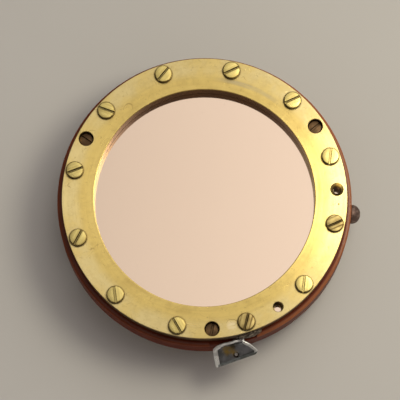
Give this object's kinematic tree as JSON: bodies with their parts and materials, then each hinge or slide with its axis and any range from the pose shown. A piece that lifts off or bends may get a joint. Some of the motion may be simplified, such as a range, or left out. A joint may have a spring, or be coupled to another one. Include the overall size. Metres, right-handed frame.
{
  "type": "condenser microphone capsule",
  "caption": "Round double-sided condenser microphone capsule: slotted-screw brass clamp rings hold a mirror-like film on each side of a red-brown insulating ring.",
  "frame": {"origin": "middle of the body ring: on the capsule's axis, half-way between the two ring faces", "axes": "+Z along the capsule's axis, out of the front face; +X to the side of the round-headed backplate terminal; -Y towards the front terminal tag"},
  "size_m": [0.0365, 0.0377, 0.0094],
  "materials": {
    "ring_brass": "turned, satin, light tarnish",
    "screw_brass": "turned, slightly worn slots",
    "backplate_brass": "lapped",
    "metallised_film": "vacuum-metallised, mirror-like, pinkish gold",
    "body_hard_rubber": "glossy red-brown hard rubber",
    "spacer_film": "plain insulating film",
    "damping_felt": "felt",
    "plated_tag": "bright plated sheet",
    "solder": "dull grey solder",
    "blackened_pin": "blackened, half gloss"
  },
  "bodies": {
    "capsule": {"body_ring": "body_hard_rubber", "front_clamp_ring": "ring_brass", "front_tension_ring": "ring_brass", "front_spacer_ring": "spacer_film", "front_backplate": "backplate_brass", "front_backplate_screw_1": "screw_brass", "front_backplate_screw_2": "screw_brass", "front_backplate_screw_3": "screw_brass", "front_mounting_screw_1": "screw_brass", "front_mounting_screw_2": "screw_brass", "front_mounting_screw_3": "screw_brass", "front_ring_screw_01": "screw_brass", "front_ring_screw_02": "screw_brass", "front_ring_screw_03": "screw_brass", "front_ring_screw_04": "screw_brass", "front_ring_screw_05": "screw_brass", "front_ring_screw_06": "screw_brass", "front_ring_screw_07": "screw_brass", "front_ring_screw_08": "screw_brass", "front_ring_screw_09": "screw_brass", "front_ring_screw_10": "screw_brass", "front_ring_screw_11": "screw_brass", "front_ring_screw_12": "screw_brass", "rear_clamp_ring": "ring_brass", "rear_tension_ring": "ring_brass", "rear_spacer_ring": "spacer_film", "rear_backplate": "backplate_brass", "rear_backplate_screw_1": "screw_brass", "rear_backplate_screw_2": "screw_brass", "rear_backplate_screw_3": "screw_brass", "rear_mounting_screw_1": "screw_brass", "rear_mounting_screw_2": "screw_brass", "rear_mounting_screw_3": "screw_brass", "rear_ring_screw_01": "screw_brass", "rear_ring_screw_02": "screw_brass", "rear_ring_screw_03": "screw_brass", "rear_ring_screw_04": "screw_brass", "rear_ring_screw_05": "screw_brass", "rear_ring_screw_06": "screw_brass", "rear_ring_screw_07": "screw_brass", "rear_ring_screw_08": "screw_brass", "rear_ring_screw_09": "screw_brass", "rear_ring_screw_10": "screw_brass", "rear_ring_screw_11": "screw_brass", "rear_ring_screw_12": "screw_brass", "damping_pad": "damping_felt", "contact_block": "backplate_brass", "backplate_terminal": "blackened_pin", "front_terminal_tag": "plated_tag", "front_tag_solder": "solder", "rear_terminal_tag": "plated_tag", "rear_tag_solder": "solder"},
    "front_film": {"front_diaphragm": "metallised_film"},
    "rear_film": {"rear_diaphragm": "metallised_film"}
  },
  "joints": [
    {"name": "front_film_travel", "type": "slide", "parent": "capsule", "child": "front_film", "axis": [0, 0, 1], "range_m": [-0.00002, 0.00002], "stiffness_N_per_m": 100},
    {"name": "rear_film_travel", "type": "slide", "parent": "capsule", "child": "rear_film", "axis": [0, 0, -1], "range_m": [-0.00002, 0.00002], "stiffness_N_per_m": 100}
  ]
}
